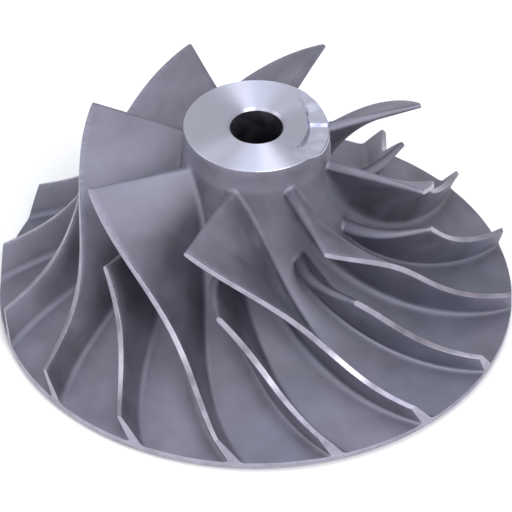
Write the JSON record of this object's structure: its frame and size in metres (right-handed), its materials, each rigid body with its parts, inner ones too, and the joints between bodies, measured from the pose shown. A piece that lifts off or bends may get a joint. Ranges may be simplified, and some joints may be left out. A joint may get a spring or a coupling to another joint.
{
  "type": "turbocharger compressor wheel",
  "caption": "Bladed wheel that draws air in at its nose and throws it out at its rim; full and shorter blades stand on a curved hub with a shaft bore through it.",
  "frame": {"origin": "on the wheel's axis, at the face of the back boss that it stands on", "axes": "+Z along the shaft axis, from the back disc towards the nose; +X to the right and +Y away from the viewer of the picture"},
  "size_m": [0.1, 0.1, 0.0434],
  "materials": {
    "cast_aluminium": "satin"
  },
  "bodies": {
    "root": {"hub": "cast_aluminium", "full_blade_1": "cast_aluminium", "full_blade_2": "cast_aluminium", "full_blade_3": "cast_aluminium", "full_blade_4": "cast_aluminium", "full_blade_5": "cast_aluminium", "full_blade_6": "cast_aluminium", "full_blade_7": "cast_aluminium", "full_blade_8": "cast_aluminium", "splitter_blade_1": "cast_aluminium", "splitter_blade_2": "cast_aluminium", "splitter_blade_3": "cast_aluminium", "splitter_blade_4": "cast_aluminium", "splitter_blade_5": "cast_aluminium", "splitter_blade_6": "cast_aluminium", "splitter_blade_7": "cast_aluminium", "splitter_blade_8": "cast_aluminium"}
  },
  "joints": []
}
